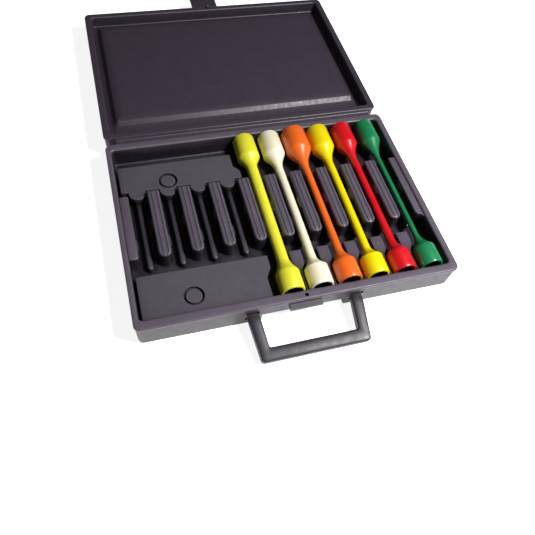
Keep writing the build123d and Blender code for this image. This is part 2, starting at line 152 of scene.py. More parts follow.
def link(name: str, data: bpy.types.ID) -> bpy.types.Object:
    """Make an object of this data and put it in the scene."""
    made = bpy.data.objects.new(name, data)
    bpy.context.scene.collection.objects.link(made)
    return made


def make_object(name: str, verts: Sequence[Point], faces: Sequence[Sequence[int]],
                sharp_deg: float = 40.0) -> bpy.types.Object:
    """Make a smooth-shaded mesh object at the origin from points in millimetres.

    Args:
        name: Name of the object.
        verts: Points in millimetres.
        faces: Corner indices of each face.
        sharp_deg: Edges that turn more than this stay sharp.

    Returns:
        The linked object.
    """
    mesh = bpy.data.meshes.new(name)
    mesh.from_pydata([tuple(c * MM for c in v) for v in verts], [], [list(f) for f in faces])
    mesh.validate()
    build = bmesh.new()
    build.from_mesh(mesh)
    bmesh.ops.remove_doubles(build, verts=build.verts, dist=1e-7)
    bmesh.ops.recalc_face_normals(build, faces=build.faces)
    build.to_mesh(mesh)
    build.free()
    mesh.shade_smooth()
    mesh.set_sharp_from_angle(angle=math.radians(sharp_deg))
    return link(name, mesh)


def loft(loops: Sequence[Sequence[Point]]) -> tuple[list[Point], list[list[int]]]:
    """Skin closed loops that have the same number of points, and cap both ends.

    Args:
        loops: Closed loops, one after the other along the piece.

    Returns:
        Points and faces of the closed skin.
    """
    count = len(loops[0])
    verts = [tuple(point) for loop in loops for point in loop]
    faces = []
    for row in range(len(loops) - 1):
        low, high = row * count, (row + 1) * count
        for i in range(count):
            j = (i + 1) % count
            faces.append([low + i, low + j, high + j, high + i])
    faces.append(list(range(count)))
    faces.append([(len(loops) - 1) * count + i for i in range(count)])
    return verts, faces


def join(name: str, parts: Sequence[bpy.types.Object]) -> bpy.types.Object:
    """Join several objects at the origin into one, under a new name."""
    build = bmesh.new()
    for part in parts:
        build.from_mesh(part.data)
    mesh = bpy.data.meshes.new(name)
    build.to_mesh(mesh)
    build.free()
    for part in parts:
        bpy.data.objects.remove(part)
    mesh.shade_smooth()
    mesh.set_sharp_from_angle(angle=math.radians(40))
    return link(name, mesh)


def plain_copy(piece: bpy.types.Object, name: str) -> bpy.types.Object:
    """Replace an object by a plain mesh of its evaluated shape.

    Args:
        piece: Object with live modifiers; it is removed.
        name: Name of the result.

    Returns:
        A new object at the origin without modifiers.
    """
    graph = bpy.context.evaluated_depsgraph_get()
    mesh = bpy.data.meshes.new_from_object(piece.evaluated_get(graph))
    bpy.data.objects.remove(piece)
    mesh.name = name
    return link(name, mesh)


def bevelled(piece: bpy.types.Object, width: float, segments: int = 3,
             angle_deg: float = 35.0) -> bpy.types.Object:
    """Round every edge sharper than an angle and bake the result.

    Args:
        piece: Object with sharp edges.
        width: Width of the rounding, in millimetres.
        segments: Faces across the rounding.
        angle_deg: Edges that turn less than this are left alone.

    Returns:
        The rounded object, at the origin.
    """
    rounding = piece.modifiers.new("edge_rounding", "BEVEL")
    rounding.width = width * MM
    rounding.segments = segments
    rounding.limit_method = "ANGLE"
    rounding.angle_limit = math.radians(angle_deg)
    rounding.harden_normals = False
    name = piece.name
    result = plain_copy(piece, name)
    result.data.shade_smooth()
    result.data.set_sharp_from_angle(angle=math.radians(50))
    return result


def prism(name: str, outline: Sequence[tuple[float, float]], z0: float,
          z1: float) -> bpy.types.Object:
    """Upright prism over an outline, between two heights."""
    low = [(x, y, z0) for x, y in outline]
    high = [(x, y, z1) for x, y in outline]
    return make_object(name, *loft([low, high]))


def dress(piece: bpy.types.Object, finish: bpy.types.Material, body: Body | str,
          stands_for: Sequence[str] = ()) -> None:
    """Give a piece its material, its body and the nodes it stands for.

    Args:
        piece: Finished piece at the origin.
        finish: Its material, if it has none of its own yet.
        body: Body that it rides on.
        stands_for: Nodes that it hides.
    """
    if not piece.data.materials:
        piece.data.materials.append(finish)
    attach(piece, body.value if isinstance(body, Body) else body)
    if stands_for:
        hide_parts(*stands_for)
    LOG.info("%s: %d faces", piece.name, len(piece.data.polygons))


# ---------------------------------------------------------------- outlines


@dataclass(frozen=True)
class Rect:
    """Upright rectangle in plan, with rounded corners."""

    x0: float
    x1: float
    y0: float
    y1: float
    radius: float

    def loop(self, inset: float, z: float, steps: int = 8) -> list[Point]:
        """Corner points of the rectangle moved inwards, at one height.

        Args:
            inset: How far each side moves inwards; negative moves it out.
            z: Height of the loop.
            steps: Pieces in each rounded corner.

        Returns:
            Points in order, four rounded corners.
        """
        radius = max(self.radius - inset, 0.3)
        x0, x1 = self.x0 + inset + radius, self.x1 - inset - radius
        y0, y1 = self.y0 + inset + radius, self.y1 - inset - radius
        points = []
        for cx, cy, start in ((x1, y1, 0), (x0, y1, 90), (x0, y0, 180), (x1, y0, 270)):
            for i in range(steps + 1):
                turn = math.radians(start + 90 * i / steps)
                points.append((cx + radius * math.cos(turn), cy + radius * math.sin(turn), z))
        return points


def quarter(radius: float, steps: int = 5) -> list[tuple[float, float]]:
    """Points of a quarter round, from (0, -radius) to (radius, 0)."""
    turns = [math.pi / 2 * i / steps for i in range(steps + 1)]
    return [(radius * (1 - math.cos(t)), radius * (math.sin(t) - 1)) for t in turns]


def cove(radius: float, steps: int) -> list[tuple[float, float]]:
    """Points of the hollow round where a wall meets a floor, as (inset, height)."""
    return [(radius * (1 - math.cos(s)), radius * (1 - math.sin(s)))
            for s in np.linspace(0, math.pi / 2, steps)]


@dataclass(frozen=True)
class RimEdge:
    """Outer edge of a half's rim: skirt, undercut seam and rounded shoulder."""

    rim_z: float = 33.0
    flange: float = 4.7
    wall: float = 2.0
    groove: float = 1.5
    groove_top: float = 3.7
    lip: float = 0.3
    rounding: float = 1.7

    def loops(self, outer: Rect) -> list[list[Point]]:
        """Loops from under the rim, out round the seam and up onto the rim's top."""
        low = self.rim_z - self.flange
        lip_z = self.rim_z - self.groove_top + self.lip
        skirt = [outer.loop(self.wall, self.rim_z - self.wall), outer.loop(self.wall, low),
                 outer.loop(self.groove + 0.1, low),
                 outer.loop(self.groove, self.rim_z - self.groove_top),
                 outer.loop(self.lip, lip_z), outer.loop(0, lip_z + self.lip)]
        return skirt + [outer.loop(a, self.rim_z + b) for a, b in quarter(self.rounding)]


# ---------------------------------------------------------------- finishes


@dataclass(frozen=True)
class Surface:
    """Common base of the finishes: object coordinates, grain and edge mask."""

    name: str
    colour: str

    def start(self) -> tuple[bpy.types.Material, bpy.types.NodeTree, bpy.types.NodeSocket]:
        """Make an empty material.

        Returns:
            The material, its tree and its object coordinates.
        """
        material = bpy.data.materials.new(self.name)
        material.use_nodes = True
        material.node_tree.nodes.clear()
        tree = material.node_tree
        return material, tree, add_node(tree, "ShaderNodeTexCoord").outputs["Object"]

    def noise(self, tree: bpy.types.NodeTree, place: bpy.types.NodeSocket, size: float,
              detail: float = 2.0) -> bpy.types.NodeSocket:
        """Noise with features of this size in millimetres."""
        return add_node(tree, "ShaderNodeTexNoise", {"Vector": place, "Detail": detail,
                                                     "Scale": per_mm(size)}).outputs[0]

    def shade(self, tree: bpy.types.NodeTree, value: float,
              saturation: float = 1.0) -> bpy.types.NodeSocket:
        """The finish's own colour, darker or lighter by a factor."""
        return add_node(tree, "ShaderNodeHueSaturation", {
            "Color": linear(self.colour), "Value": value,
            "Saturation": saturation}).outputs[0]

    def gloss(self, tree: bpy.types.NodeTree, along: bpy.types.NodeSocket, low: float,
              high: float) -> bpy.types.NodeSocket:
        """Roughness that drifts between two values along a noise."""
        return add_node(tree, "ShaderNodeMapRange", {
            "Value": along, "From Min": 0.3, "From Max": 0.7,
            "To Min": low, "To Max": high}).outputs[0]

    def times(self, tree: bpy.types.NodeTree, first: bpy.types.NodeSocket,
              second: object) -> bpy.types.NodeSocket:
        """Product of a socket and a value or another socket."""
        return add_node(tree, "ShaderNodeMath", {0: first, 1: second},
                        operation="MULTIPLY").outputs[0]

    def edges(self, tree: bpy.types.NodeTree, radius: float) -> bpy.types.NodeSocket:
        """Mask that is one on rounded and sharp edges and zero on open faces."""
        soft = add_node(tree, "ShaderNodeBevel", {"Radius": radius * MM}, samples=4)
        true = add_node(tree, "ShaderNodeNewGeometry")
        along = add_node(tree, "ShaderNodeVectorMath", {0: soft.outputs[0],
                                                        1: true.outputs["Normal"]},
                         operation="DOT_PRODUCT")
        return add_node(tree, "ShaderNodeMapRange", {"Value": along.outputs["Value"],
                                                     "From Min": 0.995, "From Max": 0.9,
                                                     "To Min": 0.0, "To Max": 1.0}).outputs[0]

    def tint(self, tree: bpy.types.NodeTree, base: object, other: object,
             amount: object) -> bpy.types.NodeSocket:
        """Mix two colours by an amount."""
        mix = add_node(tree, "ShaderNodeMix", {0: amount, 6: base, 7: other},
                       data_type="RGBA")
        return mix.outputs[2]

    def finish(self, tree: bpy.types.NodeTree, shader: bpy.types.Node) -> None:
        """Connect a shader to the material's output."""
        add_node(tree, "ShaderNodeOutputMaterial", {"Surface": shader.outputs[0]})


@dataclass(frozen=True)
class BlowMouldedPlastic(Surface):
    """High-density polyethylene, blow-moulded: waxy, fine grain from the blasted mould."""

    roughness: float = 0.46
    grain: float = 0.9
    grain_depth: float = 0.05
    sag: float = 24.0
    sag_depth: float = 0.9
    scuff: float = 7.0
    worn: str = "8A828C"
    wear: float = 0.16
    # The last three fields set painted shade in recesses: its strength, its reach and the
    # near-black purple it darkens to.
    recess: float = 0.0
    recess_reach: float = 34.0
    painted_shade: str = "0D0911"

    def make(self) -> bpy.types.Material:
        """Build the material: mottled colour, grain, rubbed edges, painted shade in recesses.
        """
        material, tree, place = self.start()
        grain = self.noise(tree, place, self.grain, 3.0)
        flow = self.noise(tree, place, self.sag, 4.0)
        scuffs = self.noise(tree, place, self.scuff, 6.0)
        mottled = self.tint(tree, self.shade(tree, 0.88), self.shade(tree, 1.13), flow)
        speckled = self.tint(tree, mottled, linear(self.worn), add_node(
            tree, "ShaderNodeMapRange", {"Value": grain, "From Min": 0.55,
                                         "From Max": 0.8, "To Max": 0.06}).outputs[0])
        rub = self.times(tree, self.edges(tree, 1.2), scuffs)
        colour = self.tint(tree, speckled, linear(self.worn),
                           self.times(tree, rub, 2 * self.wear))
        # Painted shade: where ambient occlusion finds walls close by, the colour darkens
        # towards near-black, standing in for the shade in wells, troughs and between ribs.
        if self.recess:
            open_sky = add_node(tree, "ShaderNodeAmbientOcclusion",
                                {"Distance": self.recess_reach * MM}, samples=8)
            unshaded_share = add_node(tree, "ShaderNodeMapRange", {
                "Value": open_sky.outputs["AO"], "From Min": 0.56, "From Max": 0.94,
                "To Min": 1 - self.recess, "To Max": 1.0})
            colour = self.tint(tree, linear(self.painted_shade), colour, unshaded_share.outputs[0])
        gloss = self.gloss(tree, scuffs, self.roughness - 0.05, self.roughness + 0.08)
        waves = add_node(tree, "ShaderNodeBump", {"Height": flow, "Strength": 0.25,
                                                  "Distance": self.sag_depth * MM})
        bump = add_node(tree, "ShaderNodeBump", {"Height": grain, "Strength": 0.5,
                                                 "Distance": self.grain_depth * MM,
                                                 "Normal": waves.outputs[0]})
        shader = add_node(tree, "ShaderNodeBsdfPrincipled", {
            "Base Color": colour, "Roughness": gloss, "IOR": 1.54,
            "Normal": bump.outputs[0]})
        self.finish(tree, shader)
        return material


@dataclass(frozen=True)
class PowderCoat(Surface):
    """Polyester powder coat on steel: glossy, slight orange peel, chipped on edges."""

    roughness: float = 0.3
    coat: float = 0.35
    peel: float = 2.2
    peel_depth: float = 0.12
    drift: float = 16.0
    chip: float = 0.5
    chip_size: float = 2.6
    steel: str = "6E6A66"

    def make(self) -> bpy.types.Material:
        """Build the material: soft colour drift, orange peel, small chips to steel."""
        material, tree, place = self.start()
        peel = self.noise(tree, place, self.peel, 1.5)
        drift = self.noise(tree, place, self.drift, 3.0)
        chips = self.noise(tree, place, self.chip_size, 5.0)
        colour = self.tint(tree, self.shade(tree, 0.9, 1.03), self.shade(tree, 1.06), drift)
        spots = add_node(tree, "ShaderNodeMapRange", {"Value": chips, "From Min": 0.6,
                                                      "From Max": 0.66}).outputs[0]
        bare = self.times(tree, self.edges(tree, 0.5), spots)
        colour = self.tint(tree, colour, linear(self.steel),
                           self.times(tree, bare, self.chip))
        gloss = self.gloss(tree, drift, self.roughness - 0.04, self.roughness + 0.06)
        bump = add_node(tree, "ShaderNodeBump", {"Height": peel, "Strength": 0.18,
                                                 "Distance": self.peel_depth * MM})
        shader = add_node(tree, "ShaderNodeBsdfPrincipled", {
            "Base Color": colour, "Roughness": gloss, "IOR": 1.5,
            "Coat Weight": self.coat, "Coat Roughness": 0.12, "Normal": bump.outputs[0]})
        self.finish(tree, shader)
        return material


@dataclass(frozen=True)
class Metal(Surface):
    """Plain or oxide-blackened steel, as turned or broached."""

    roughness: float = 0.35
    grain: float = 1.4
    grain_depth: float = 0.05
    cloud: float = 5.0

    def make(self) -> bpy.types.Material:
        """Build the material: cloudy oxide and fine tool marks."""
        material, tree, place = self.start()
        cloud = self.noise(tree, place, self.cloud, 4.0)
        marks = self.noise(tree, place, self.grain)
        colour = self.tint(tree, self.shade(tree, 0.7), linear(self.colour), cloud)
        gloss = self.gloss(tree, marks, self.roughness - 0.06, self.roughness + 0.1)
        bump = add_node(tree, "ShaderNodeBump", {"Height": marks, "Strength": 0.2,
                                                 "Distance": self.grain_depth * MM})
        shader = add_node(tree, "ShaderNodeBsdfPrincipled", {
            "Base Color": colour, "Roughness": gloss, "Metallic": 1.0,
            "Normal": bump.outputs[0]})
        self.finish(tree, shader)
        return material


@dataclass(frozen=True)
class TableTop(Surface):
    """Opal white light table that the case lies on."""

    glow: float = 0.85
    cloud: float = 300.0

    def make(self) -> bpy.types.Material:
        """Build the material: a near-white with the faintest cloud."""
        material, tree, place = self.start()
        cloud = self.noise(tree, place, self.cloud)
        colour = self.tint(tree, linear(self.colour), linear("FFFFFF"), cloud)
        shader = add_node(tree, "ShaderNodeBsdfPrincipled", {
            "Base Color": colour, "Roughness": 0.9, "Emission Color": (1.0, 1.0, 1.0, 1.0),
            "Emission Strength": self.glow})
        self.finish(tree, shader)
        return material


# ---------------------------------------------------------------- the rack tree


@dataclass(frozen=True)
class Rack:
    """Places things across the tray, in steps counted from the last spare rib."""

    anchor: float = -25.5
    spare_pitch: float = 33.5
    pitch: float = 30.8

    def x_at(self, step: float) -> float:
        """Distance from the middle of the tray of the place at this step."""
        return self.anchor + self.spare_pitch * min(step, 0) + self.pitch * max(step, 0)

    def tree(self) -> bpy.types.NodeTree:
        """Build the tree that repeats a template along the rack.

        Returns:
            A geometry tree with Template, Count, Start, Anchor, two pitches and Finish.
        """
        tree = bpy.data.node_groups.new("rack_of_repeats", "GeometryNodeTree")
        face = tree.interface
        for name, kind in (("Template", "NodeSocketObject"), ("Count", "NodeSocketInt"),
                           ("Start", "NodeSocketFloat"), ("Anchor", "NodeSocketFloat"),
                           ("Spare Pitch", "NodeSocketFloat"), ("Pitch", "NodeSocketFloat"),
                           ("Finish", "NodeSocketMaterial")):
            face.new_socket(name, in_out="INPUT", socket_type=kind)
        face.new_socket("Geometry", in_out="OUTPUT", socket_type="NodeSocketGeometry")
        given = add_node(tree, "NodeGroupInput").outputs
        index = add_node(tree, "GeometryNodeInputIndex").outputs[0]
        step = add_node(tree, "ShaderNodeMath", {0: index, 1: given["Start"]}).outputs[0]
        left = add_node(tree, "ShaderNodeMath", {0: step, 1: 0.0},
                        operation="MINIMUM").outputs[0]
        right = add_node(tree, "ShaderNodeMath", {0: step, 1: 0.0},
                         operation="MAXIMUM").outputs[0]
        spare = add_node(tree, "ShaderNodeMath", {0: left, 1: given["Spare Pitch"],
                                                  2: given["Anchor"]},
                         operation="MULTIPLY_ADD").outputs[0]
        across = add_node(tree, "ShaderNodeMath", {0: right, 1: given["Pitch"], 2: spare},
                          operation="MULTIPLY_ADD").outputs[0]
        spot = add_node(tree, "ShaderNodeCombineXYZ", {"X": across}).outputs[0]
        line = add_node(tree, "GeometryNodeMeshLine", {"Count": given["Count"]})
        spread = add_node(tree, "GeometryNodeSetPosition", {"Geometry": line.outputs[0],
                                                            "Position": spot})
        shape = add_node(tree, "GeometryNodeObjectInfo", {"Object": given["Template"]})
        copies = add_node(tree, "GeometryNodeInstanceOnPoints", {
            "Points": spread.outputs[0], "Instance": shape.outputs["Geometry"]})
        real = add_node(tree, "GeometryNodeRealizeInstances", {"Geometry": copies.outputs[0]})
        coated = add_node(tree, "GeometryNodeSetMaterial", {"Geometry": real.outputs[0],
                                                            "Material": given["Finish"]})
        add_node(tree, "NodeGroupOutput", {"Geometry": coated.outputs[0]})
        return tree

    def repeat(self, tree: bpy.types.NodeTree, template: bpy.types.Object, name: str,
               count: int, start: float, finish: bpy.types.Material) -> bpy.types.Object:
        """Repeat a template along the rack and bake the copies into one mesh.

        Args:
            tree: The rack's geometry tree.
            template: Mesh in place for x = 0; it is removed.
            name: Name of the result.
            count: Number of copies.
            start: Step of the first copy, counted from the last spare rib.
            finish: Material of the copies.

        Returns:
            One plain mesh object.
        """
        holder = link(name + "_holder", bpy.data.meshes.new(name + "_holder"))
        nodes = holder.modifiers.new("rack", "NODES")
        nodes.node_group = tree
        values = {"Template": template, "Count": count, "Start": start,
                  "Anchor": self.anchor * MM, "Spare Pitch": self.spare_pitch * MM,
                  "Pitch": self.pitch * MM, "Finish": finish}
        for item in tree.interface.items_tree:
            if item.in_out == "INPUT":
                nodes[item.identifier] = values[item.name]
        result = plain_copy(holder, name)
        bpy.data.objects.remove(template)
        result.data.shade_smooth()
        result.data.set_sharp_from_angle(angle=math.radians(45))
        return result


# ---------------------------------------------------------------- base tray


@dataclass
class BaseTray:
    """Rim and well of the base, with its rack of ribs."""

    outer: Rect = Rect(-168.5, 168.5, -120.4, 117.0, 7.0)
    well: Rect = Rect(-162.5, 160.5, -110.0, 107.5, 4.0)
    rim_z: float = 33.0
    wall: float = 2.0
    floor_z: float = 10.5
    floor_round: float = 2.5
    lip_round: float = 2.4
    draft: float = 0.8
    rib_width: float = 13.6
    rib_front: float = -42.0
    rib_back: float = 44.0
    rib_z: float = 31.0
    ridge_width: float = 7.0
    ridge_front: float = -47.5
    ridge_z: float = 18.0
    land_z: float = 25.0
    land_back: float = -58.0
    land_neck: float = -74.0
    land_tip: float = -86.0
    land_tip_width: float = 1.6
    pad_proud: float = 1.8
    left_face_pad_y: float = 2.5
    right_face_pad_y: float = -22.0
    peg_hole: tuple[float, float] = (0.0, -116.0)
    peg_hole_radius: float = 2.0
    rack: Rack = field(default_factory=Rack)

    def pan(self) -> bpy.types.Object:
        """Closed thin-walled skin of the rim, the walls and the floor of the well."""
        well, t = self.well, self.wall
        low = self.floor_z - t
        loops = [well.loop(4, low), well.loop(-t + 1.5, low), well.loop(-t, low + 1.5),
                 well.loop(-t, self.rim_z - t)]
        loops += RimEdge().loops(self.outer)
        lip = self.lip_round
        loops += [well.loop(-a, self.rim_z + b) for a, b in reversed(quarter(lip, 7))]
        foot = self.floor_round
        loops += [well.loop(self.draft + a, self.floor_z + b) for a, b in cove(foot, 5)]
        loops.append(well.loop(self.draft + foot + 4, self.floor_z))
        piece = make_object("tray_pan", *loft(loops), sharp_deg=60)
        ring = [(self.peg_hole[0] + self.peg_hole_radius * math.cos(a),
                 self.peg_hole[1] + self.peg_hole_radius * math.sin(a))
                for a in np.linspace(0, 2 * math.pi, 32, endpoint=False)]
        drill = prism("peg_drill", ring, self.rim_z - 2 * t, self.rim_z + 2)
        cut = piece.modifiers.new("peg_hole", "BOOLEAN")
        cut.object = drill
        cut.solver = "EXACT"
        result = plain_copy(piece, "tray_pan")
        bpy.data.objects.remove(drill)
        result.data.shade_smooth()
        result.data.set_sharp_from_angle(angle=math.radians(60))
        return result

    def bar(self, name: str, width: float, front: float, back: float, top: float,
            nose: float, foot: float, lines: bool) -> bpy.types.Object:
        """Long bar along Y with a rounded top, a rounded nose and a square tail.

        Args:
            name: Name of the object.
            width: Width at its top.
            front: Y of its nose.
            back: Y of its tail.
            top: Height of its top.
            nose: Length over which the nose is rounded.
            foot: How far each side spreads at its foot.
            lines: Whether two shallow lines run along its top.

        Returns:
            The bar, centred on x = 0.
        """
        half, edge, base = width / 2, min(width * 0.4, 2.6), self.floor_z - 0.5
        height = top - base
        side = [(half + foot, 0.0), (half + foot * 0.55, height * 0.22),
                (half + foot * 0.15, height * 0.6), (half, height - edge)]
        side += [(half - edge + edge * math.cos(a), height - edge + edge * math.sin(a))
                 for a in np.linspace(0.3, math.pi / 2, 5)]
        if lines:
            side += [(half * 0.58, height), (half * 0.48, height - 0.7),
                     (half * 0.34, height - 0.7), (half * 0.24, height)]
        side.append((half * 0.1, height))
        section = side + [(-x, z) for x, z in reversed(side)]
        stations = [(front + nose * (1 - math.cos(a)), math.sin(a))
                    for a in np.linspace(0.22, math.pi / 2, 7)]
        stations += [(front + nose + 3, 1.0), (back - 3, 1.0), (back - 0.7, 1.0),
                     (back - 0.15, 0.965), (back, 0.9)]
        loops = []
        for y, full in stations:
            drop = (1 - full) * min(nose, 4.0) * 0.55
            loops.append([(x * full, y, base + z - (drop if z > height / 2 else 0))
                          for x, z in section])
        return make_object(name, *loft(loops), sharp_deg=55)

    def nip_pad(self, outward: int, middle: float) -> bpy.types.Object:
        """Pad that stands off a rib's side face and nips a shaft.

        Args:
            outward: Side of the rib that it is on, -1 for left and 1 for right.
            middle: Y of its middle.

        Returns:
            The pad, for a rib centred on x = 0.
        """
        face, high, low = self.rib_width / 2, self.rim_z - 4.0, self.rim_z - 14.8
        loops = []
        for y, share in ((-7.9, 0.05), (-7.0, 0.5), (-5.6, 0.88), (-3.5, 1.0), (3.5, 1.0),
                         (5.6, 0.88), (7.0, 0.5), (7.9, 0.05)):
            proud = self.pad_proud * share
            section = [(face - 1, high), (face, high), (face + proud * 0.8, high - 1.6),
                       (face + proud, high - 3.4), (face + proud, low + 3),
                       (face + proud * 0.6, low), (face - 1, low)]
            loops.append([(outward * x, middle + y, z) for x, z in section])
        return make_object("nip_pad", *loft(loops), sharp_deg=60)

    def land(self) -> bpy.types.Object:
        """Tapered wall between the front heads of two neighbouring sticks."""
        wide, thin = self.rib_width / 2, self.land_tip_width / 2
        outline = [(-wide, self.land_back), (-wide, self.land_neck),
                   (-wide * 0.7, self.land_neck - 4), (-thin * 2.4, self.land_tip + 3),
                   (-thin, self.land_tip - 2), (-thin, self.well.y0 - 0.5),
                   (thin, self.well.y0 - 0.5), (thin, self.land_tip - 2),
                   (thin * 2.4, self.land_tip + 3), (wide * 0.7, self.land_neck - 4),
                   (wide, self.land_neck), (wide, self.land_back)]
        block = prism("land", outline, self.floor_z - 0.5, self.land_z)
        return bevelled(block, 0.7, 2, 50)

    def ledges(self) -> list[bpy.types.Object]:
        """Half ribs moulded onto the left and right walls of the well."""
        x_left, x_right = self.well.x0 - 0.8, self.well.x1 + 0.8
        edge = self.rack.x_at(6) - self.rib_width / 2
        left_edge = self.rack.x_at(-4) + self.rib_width / 2
        left = [(x_left, self.rib_front + 1), (left_edge - 3, self.rib_front + 1),
                (left_edge - 0.8, self.rib_front + 2), (left_edge, self.rib_front + 4),
                (left_edge, self.rib_back - 3), (x_left, self.rib_back - 3)]
        right = [(edge, self.rib_front + 4), (edge + 0.9, self.rib_front + 1.6),
                 (edge + 3, self.rib_front), (self.well.x1 - 5, self.rib_front),
                 (self.well.x1 - 2.5, self.rib_front - 1), (self.well.x1 - 1,
                                                            self.rib_front - 3),
                 (x_right, self.rib_front - 6), (x_right, self.rib_back),
                 (edge, self.rib_back)]
        blocks = []
        for name, outline in (("left_ledge", left), ("right_ledge", right)):
            block = prism(name, outline, self.floor_z - 0.5, self.rib_z)
            blocks.append(bevelled(block, 1.5, 3, 50))
        return blocks

    def build(self, finish: bpy.types.Material) -> None:
        """Build and dress every part of the tray."""
        tree = self.rack.tree()
        slot, stands_for = "case_plastic", ["base_tray"]
        rib = self.bar("rib", self.rib_width, self.rib_front, self.rib_back, self.rib_z,
                       6.4, 0.5, True)
        ridge = self.bar("ridge", self.ridge_width, self.ridge_front, self.rib_back,
                         self.ridge_z, 4.0, 1.8, False)
        pieces = [
            self.pan(),
            self.rack.repeat(tree, rib, "tray_ribs", 9, -3.0, finish),
            self.rack.repeat(tree, ridge, "tray_ridges", 10, -3.5, finish),
            self.rack.repeat(tree, self.nip_pad(-1, self.left_face_pad_y),
                             "tray_left_nip_pads", 10, -3.0, finish),
            self.rack.repeat(tree, self.nip_pad(1, self.right_face_pad_y),
                             "tray_right_nip_pads", 10, -4.0, finish),
            self.rack.repeat(tree, self.land(), "tray_lands", 5, 1.0, finish),
            join("tray_ledges", self.ledges()),
        ]
        for piece in pieces:
            dress(piece, finish, Body.BASE, stands_for)


# ---------------------------------------------------------------- lid lining


@dataclass
class LidLining:
    """Lid lining: rim, recess with a groove round it, and a raised middle panel."""

    outer: Rect = Rect(-168.5, 168.5, 126.0, 363.4, 7.0)
    recess: Rect = Rect(-160.0, 160.0, 134.5, 354.9, 4.0)
    panel: Rect = Rect(-154.5, 154.5, 159.5, 349.4, 6.0)
    rim_z: float = 33.0
    wall: float = 2.0
    floor_z: float = 19.0
    panel_z: float = 24.0

    def build(self, finish: bpy.types.Material) -> None:
        """Build and dress the lining."""
        recess, panel, t = self.recess, self.panel, self.wall
        low = self.floor_z - t
        loops = [panel.loop(t + 6, self.panel_z - t), panel.loop(t + 1, self.panel_z - t),
                 panel.loop(t, low), recess.loop(-t + 1, low), recess.loop(-t, low + 1),
                 recess.loop(-t, self.rim_z - t)]
        loops += RimEdge().loops(self.outer)
        loops += [recess.loop(-a, self.rim_z + b) for a, b in reversed(quarter(2.0, 6))]
        loops += [recess.loop(0.6 + a, self.floor_z + b) for a, b in cove(2.0, 4)]
        loops += [panel.loop(-0.6, self.floor_z), panel.loop(0.2, self.floor_z + 0.6),
                  panel.loop(3.4, self.panel_z - 0.8), panel.loop(4.4, self.panel_z - 0.1)]
        loops += [panel.loop(14, self.panel_z)]
        piece = make_object("lid_lining", *loft(loops), sharp_deg=60)
        dress(piece, finish, Body.LID, ["lid_liner"])


# ---------------------------------------------------------------- hinge strip


@dataclass
class HingeStrip:
    """Moulded strip that joins the lid to the base; the real one bends between them, this one
    is built open and rides on no body.
    """

    half_width: float = 154.5
    axis_y: float = 121.5
    axis_z: float = 33.2
    base_y: float = 117.0
    lid_y: float = 126.0
    web: float = 1.6
    bead: float = 2.0
    slices: int = 24

    def build(self, finish: bpy.types.Material) -> None:
        """Build the strip as one section run along X, in place of the hinge node that it hides.
        """
        top = self.axis_z - 0.9
        low = top - self.web
        upper = [(self.base_y - 0.8, top)]
        upper += [(self.axis_y - self.bead * math.cos(a) - 0.4,
                   top + (self.bead + 0.3) * math.sin(a))
                  for a in np.linspace(0.1, math.pi - 0.5, 10)]
        upper += [(self.axis_y + 2.6, top - 0.5), (self.lid_y + 0.8, top - 0.1)]
        lower = [(self.lid_y + 0.8, low), (self.axis_y + 1.6, low + 0.2),
                 (self.axis_y, low - 0.2), (self.axis_y - 1.6, low + 0.2),
                 (self.base_y - 0.8, low)]
        loops = []
        for i in range(self.slices + 1):
            x = self.half_width * (2 * i / self.slices - 1)
            loops.append([(x, y, z) for y, z in upper + lower])
        piece = make_object("living_hinge_strip", *loft(loops), sharp_deg=50)
        piece.data.materials.append(finish)
        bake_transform(piece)
        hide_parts("living_hinge")
        LOG.info("%s: %d faces", piece.name, len(piece.data.polygons))


# ---------------------------------------------------------------- handle


